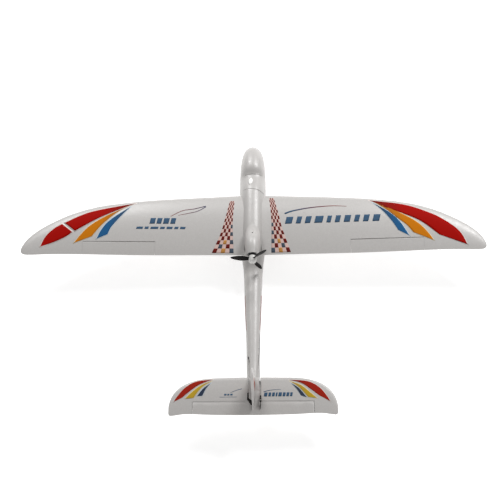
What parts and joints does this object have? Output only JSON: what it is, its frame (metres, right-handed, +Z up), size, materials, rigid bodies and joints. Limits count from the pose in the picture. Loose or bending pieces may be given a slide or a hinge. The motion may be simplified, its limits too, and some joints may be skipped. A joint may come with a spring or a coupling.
{
  "type": "rc sailplane",
  "caption": "Foam electric glider with a pusher propeller on a pod above the wing, pinned control surfaces, pushrod linkages and a lift-off canopy over the battery bay.",
  "frame": {"origin": "on the flat belly, under the middle of the bounding box", "axes": "+Z up, +Y towards the nose, +X towards the right wing tip"},
  "size_m": [1.4, 0.9305, 0.2251],
  "materials": {
    "foam": "satin",
    "carbon": "satin",
    "black_plastic": "satin",
    "white_nylon": "satin",
    "servo_plastic": "gloss",
    "steel_wire": "satin",
    "light_plastic": "gloss",
    "plywood": "matte",
    "battery_wrap": "gloss",
    "webbing": "matte",
    "alloy": "satin",
    "motor_steel": "satin",
    "magnet": "gloss"
  },
  "bodies": {
    "airframe": {"aileron_servo_left": "servo_plastic", "aileron_servo_right": "servo_plastic", "battery": "battery_wrap", "battery_strap": "webbing", "canopy_catch": "white_nylon", "elevator_servo": "servo_plastic", "equipment_tray": "plywood", "fin": "foam", "fixed_hinge_leaves": "white_nylon", "fuselage_left": "foam", "fuselage_magnets": "magnet", "fuselage_right": "foam", "hinge_pins": "steel_wire", "motor_mount": "black_plastic", "motor_screws": "steel_wire", "motor_stator": "motor_steel", "pushrod_guides": "black_plastic", "receiver": "black_plastic", "rudder_servo": "servo_plastic", "servo_cradle": "plywood", "servo_screws": "steel_wire", "spar_left": "carbon", "spar_right": "carbon", "speed_controller": "black_plastic", "stabilizer": "foam", "wing_joiner": "carbon", "wing_left": "foam", "wing_right": "foam"},
    "canopy": {"canopy": "foam", "canopy_magnets": "magnet"},
    "aileron_left": {"aileron_left": "foam", "aileron_hinge_leaves_left": "white_nylon", "aileron_horn_left": "black_plastic"},
    "aileron_right": {"aileron_right": "foam", "aileron_hinge_leaves_right": "white_nylon", "aileron_horn_right": "black_plastic"},
    "elevator": {"elevator": "foam", "elevator_hinge_leaves": "white_nylon", "elevator_horn": "black_plastic"},
    "rudder": {"rudder": "foam", "rudder_hinge_leaves": "white_nylon", "rudder_horn": "black_plastic"},
    "rotor": {"motor_bell": "motor_steel", "prop_adapter": "alloy", "propeller": "black_plastic", "spinner": "light_plastic"},
    "aileron_arm_left": {"aileron_servo_arm_left": "white_nylon"},
    "aileron_rod_left": {"aileron_pushrod_left": "steel_wire", "aileron_clevis_left": "black_plastic"},
    "aileron_arm_right": {"aileron_servo_arm_right": "white_nylon"},
    "aileron_rod_right": {"aileron_pushrod_right": "steel_wire", "aileron_clevis_right": "black_plastic"},
    "elevator_arm": {"elevator_servo_arm": "white_nylon"},
    "elevator_rod": {"elevator_pushrod": "steel_wire", "elevator_clevis": "black_plastic"},
    "rudder_arm": {"rudder_servo_arm": "white_nylon"},
    "rudder_rod": {"rudder_pushrod": "steel_wire", "rudder_clevis": "black_plastic"}
  },
  "joints": [
    {"name": "canopy_lift", "type": "slide", "parent": "airframe", "child": "canopy", "axis": [0, 0, 1], "range_m": [0, 0.06]},
    {"name": "aileron_left_hinge", "type": "hinge", "parent": "airframe", "child": "aileron_left", "pos_m": [-0.40452, 0.088, 0.10034], "axis": [0.9993, 0, -0.0384], "range_deg": [-20, 20]},
    {"name": "aileron_left_servo_shaft", "type": "hinge", "parent": "airframe", "child": "aileron_arm_left", "pos_m": [-0.40455, 0.15, 0.09954], "axis": [0.9993, 0, -0.0384], "range_deg": [-20, 20]},
    {"name": "aileron_left_rod_pin", "type": "hinge", "parent": "aileron_arm_left", "child": "aileron_rod_left", "pos_m": [-0.40512, 0.15, 0.08456], "axis": [0.9993, 0, -0.0384], "range_deg": [-20, 20]},
    {"name": "aileron_right_hinge", "type": "hinge", "parent": "airframe", "child": "aileron_right", "pos_m": [0.40452, 0.088, 0.10034], "axis": [0.9993, 0, 0.0384], "range_deg": [-20, 20]},
    {"name": "aileron_right_servo_shaft", "type": "hinge", "parent": "airframe", "child": "aileron_arm_right", "pos_m": [0.40455, 0.15, 0.09954], "axis": [0.9993, 0, 0.0384], "range_deg": [-20, 20]},
    {"name": "aileron_right_rod_pin", "type": "hinge", "parent": "aileron_arm_right", "child": "aileron_rod_right", "pos_m": [0.40512, 0.15, 0.08456], "axis": [0.9993, 0, 0.0384], "range_deg": [-20, 20]},
    {"name": "elevator_hinge", "type": "hinge", "parent": "airframe", "child": "elevator", "pos_m": [0, -0.4285, 0.079], "axis": [1, 0, 0], "range_deg": [-20, 20]},
    {"name": "elevator_servo_shaft", "type": "hinge", "parent": "airframe", "child": "elevator_arm", "pos_m": [0.012, 0.15, 0.031], "axis": [1, 0, 0], "range_deg": [-20, 20]},
    {"name": "elevator_rod_pin", "type": "hinge", "parent": "elevator_arm", "child": "elevator_rod", "pos_m": [0.012, 0.15, 0.045], "axis": [1, 0, 0], "range_deg": [-20, 20]},
    {"name": "rudder_hinge", "type": "hinge", "parent": "airframe", "child": "rudder", "pos_m": [0, -0.424, 0.14], "axis": [0, 0, 1], "range_deg": [-25, 25]},
    {"name": "rudder_servo_shaft", "type": "hinge", "parent": "airframe", "child": "rudder_arm", "pos_m": [0.002, 0.195, 0.042], "axis": [0, 0, 1], "range_deg": [-25, 25]},
    {"name": "rudder_rod_pin", "type": "hinge", "parent": "rudder_arm", "child": "rudder_rod", "pos_m": [-0.012, 0.195, 0.042], "axis": [0, 0, 1], "range_deg": [-25, 25]},
    {"name": "propeller_spin", "type": "hinge", "parent": "airframe", "child": "rotor", "pos_m": [0, 0.009, 0.13], "axis": [0, 1, 0], "continuous": true}
  ],
  "couplings": [
    {"joint": "aileron_left_servo_shaft", "follows": "aileron_left_hinge", "ratio": 1},
    {"joint": "aileron_left_rod_pin", "follows": "aileron_left_hinge", "ratio": -1},
    {"joint": "elevator_servo_shaft", "follows": "elevator_hinge", "ratio": 1},
    {"joint": "elevator_rod_pin", "follows": "elevator_hinge", "ratio": -1},
    {"joint": "rudder_servo_shaft", "follows": "rudder_hinge", "ratio": 1},
    {"joint": "rudder_rod_pin", "follows": "rudder_hinge", "ratio": -1},
    {"joint": "aileron_right_hinge", "follows": "aileron_left_hinge", "ratio": -1},
    {"joint": "aileron_right_servo_shaft", "follows": "aileron_left_hinge", "ratio": -1},
    {"joint": "aileron_right_rod_pin", "follows": "aileron_left_hinge", "ratio": 1}
  ]
}
